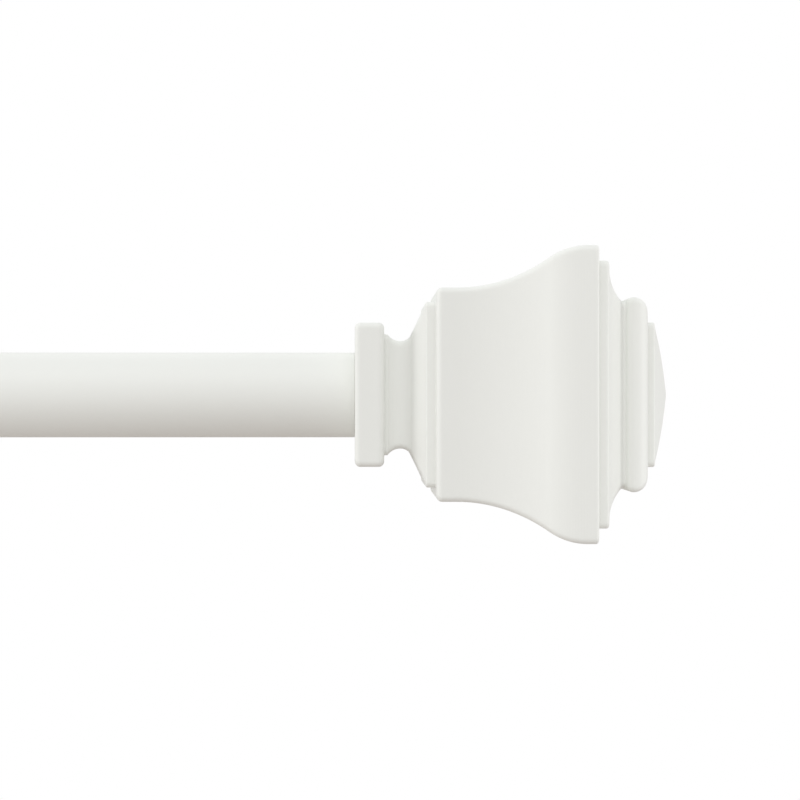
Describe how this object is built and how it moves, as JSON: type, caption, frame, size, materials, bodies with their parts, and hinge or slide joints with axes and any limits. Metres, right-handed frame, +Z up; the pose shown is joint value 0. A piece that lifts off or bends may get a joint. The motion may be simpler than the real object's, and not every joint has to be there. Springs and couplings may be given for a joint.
{
  "type": "curtain rod with finials",
  "caption": "Telescoping round steel curtain rod, painted white, with square moulded finials that unscrew from the tube ends.",
  "frame": {"origin": "on the rod's axis, halfway between the finial tips at the shortest setting", "axes": "+X along the rod towards the wide tube's finial, +Z up, the finials' flats face Y and Z"},
  "size_m": [0.8288, 0.0532, 0.0532],
  "materials": {
    "rod_paint": "satin white stove enamel",
    "finial_paint": "satin white lacquer on cast resin",
    "white_nylon": "moulded nylon",
    "zinc_steel": "bright zinc plate",
    "insert_brass": "turned"
  },
  "bodies": {
    "rod": {"outer_tube": "rod_paint", "mouth_sleeve": "white_nylon", "right_end_plug": "white_nylon"},
    "glide": {"inner_glide": "white_nylon"},
    "inner_rod": {"inner_tube": "rod_paint", "left_end_plug": "white_nylon"},
    "right_screw": {"right_stud": "zinc_steel"},
    "right_end": {"right_finial": "finial_paint", "right_insert": "insert_brass"},
    "left_screw": {"left_stud": "zinc_steel"},
    "left_end": {"left_finial": "finial_paint", "left_insert": "insert_brass"}
  },
  "joints": [
    {"name": "draw_out", "type": "slide", "parent": "rod", "child": "glide", "axis": [-1, 0, 0], "range_m": [0, 0.508]},
    {"name": "inner_turn", "type": "hinge", "parent": "glide", "child": "inner_rod", "pos_m": [-0.3555, 0, 0], "axis": [-1, 0, 0], "continuous": true},
    {"name": "right_stud_slide", "type": "slide", "parent": "rod", "child": "right_screw", "axis": [1, 0, 0], "range_m": [0, 0.02]},
    {"name": "right_finial_turn", "type": "hinge", "parent": "right_screw", "child": "right_end", "pos_m": [0.3555, 0, 0], "axis": [1, 0, 0], "range_deg": [0, 7200]},
    {"name": "left_stud_slide", "type": "slide", "parent": "inner_rod", "child": "left_screw", "axis": [-1, 0, 0], "range_m": [0, 0.02]},
    {"name": "left_finial_turn", "type": "hinge", "parent": "left_screw", "child": "left_end", "pos_m": [-0.3555, 0, 0], "axis": [-1, 0, 0], "range_deg": [0, 7200]}
  ],
  "couplings": [
    {"joint": "right_stud_slide", "follows": "right_finial_turn", "m_per_rad": 0.00015915},
    {"joint": "left_stud_slide", "follows": "left_finial_turn", "m_per_rad": 0.00015915}
  ]
}
